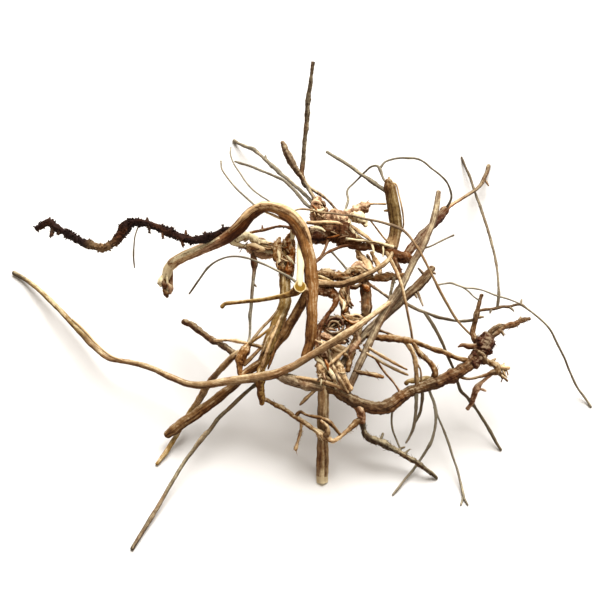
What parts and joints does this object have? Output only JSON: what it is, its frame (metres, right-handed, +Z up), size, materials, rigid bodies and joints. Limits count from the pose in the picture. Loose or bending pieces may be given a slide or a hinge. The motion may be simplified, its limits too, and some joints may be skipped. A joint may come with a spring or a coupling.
{
  "type": "dried root clump",
  "caption": "Dried tangle of woody roots with a knotty crown, a looped root, a knobbly rhizome, a short cut stem and wiry rootlets, lying on a surface.",
  "frame": {"origin": "on the surface that the clump lies on, in the middle of its outline seen from above", "axes": "+Z up from the surface, +X along the clump's longest extent from the long pale root's tip towards the wiry rootlets, +Y from the cut stem's foot towards the far roots"},
  "size_m": [0.2604, 0.2222, 0.0847],
  "materials": {
    "root_clump": "dry, matt, fibrous bark"
  },
  "bodies": {
    "root": {"root_clump": "root_clump"}
  },
  "joints": []
}
